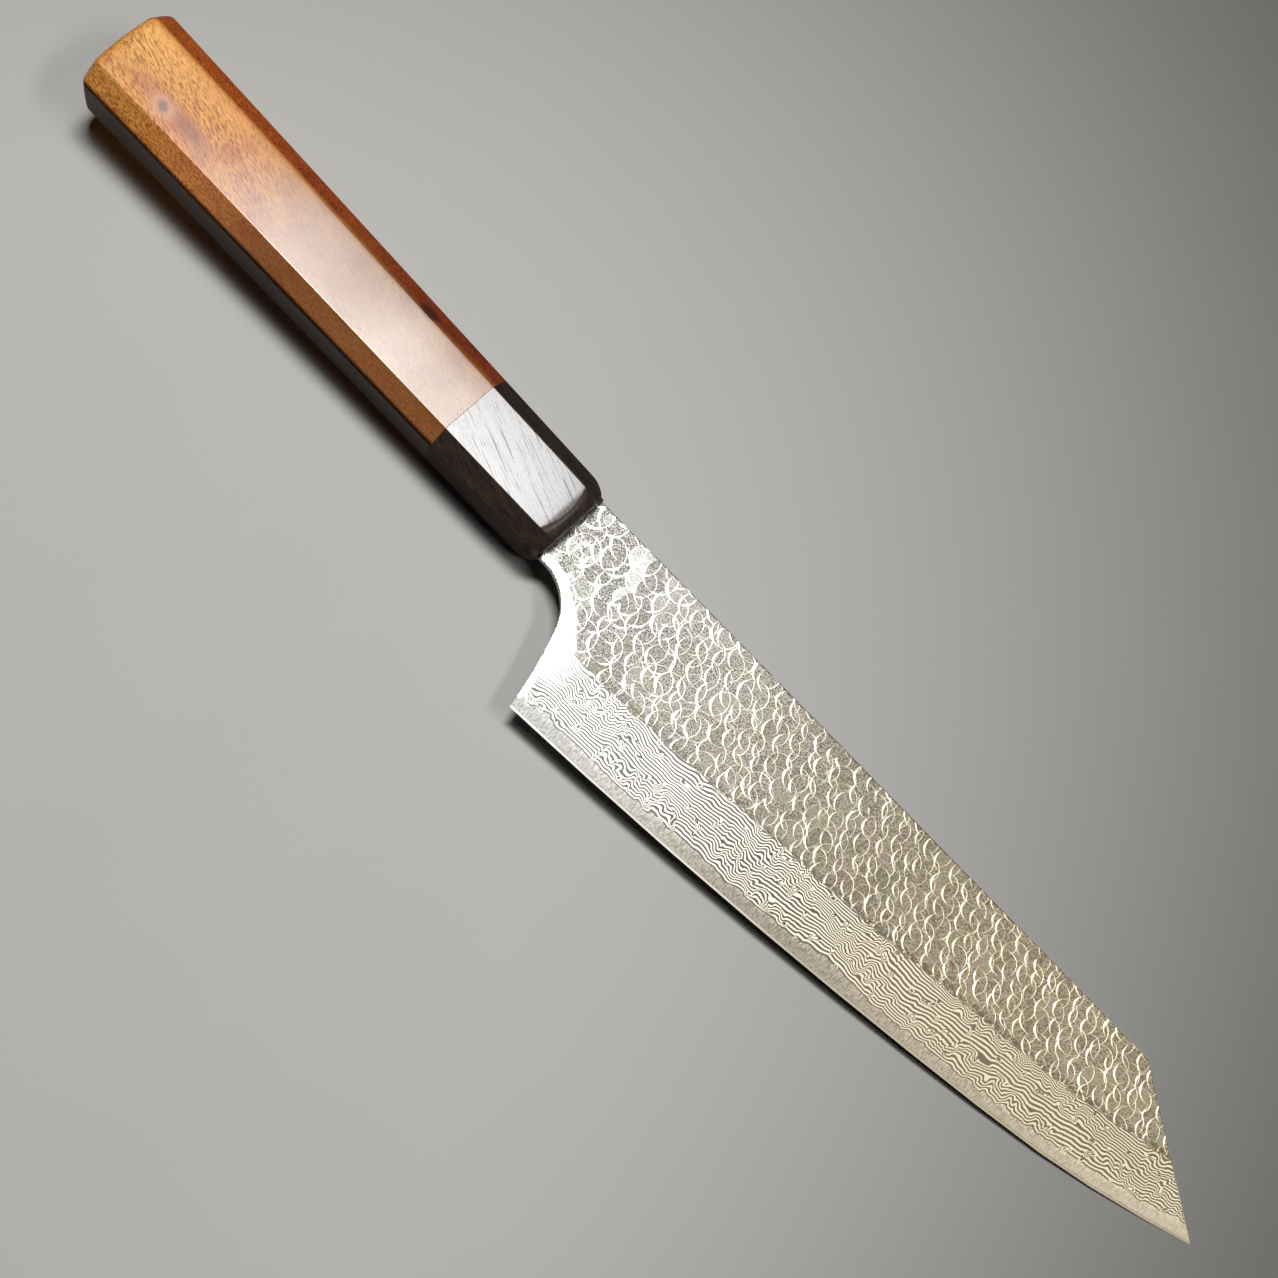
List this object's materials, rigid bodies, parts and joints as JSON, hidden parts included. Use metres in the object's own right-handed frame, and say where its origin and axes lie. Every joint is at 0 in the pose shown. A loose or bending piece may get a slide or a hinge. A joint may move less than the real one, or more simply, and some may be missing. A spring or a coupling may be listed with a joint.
{
  "type": "kiritsuke knife",
  "caption": "Kitchen knife with an angled tip, a hammered three-layer blade and an octagonal two-wood handle round a hidden tang.",
  "frame": {"origin": "middle of the ferrule's front, on the handle's axis", "axes": "+X from the handle to the tip, +Y from the cutting edge to the spine, +Z out of the blade's right face"},
  "size_m": [0.3468, 0.0497, 0.0208],
  "materials": {
    "core_steel": "satin, fine marks across the edge",
    "patterned_steel": "hammered dimples above, etched layer lines below",
    "grip_wood": "polished red-brown hardwood",
    "ferrule_wood": "polished near-black hardwood",
    "dowel_wood": "plain softwood",
    "resin": "cured resin",
    "sealer": "dark sealing bead"
  },
  "bodies": {
    "root": {"core_steel": "core_steel", "cladding_right": "patterned_steel", "cladding_left": "patterned_steel", "handle_body": "grip_wood", "ferrule": "ferrule_wood", "dowel": "dowel_wood", "tang_adhesive": "resin", "neck_seal": "sealer"}
  },
  "joints": []
}
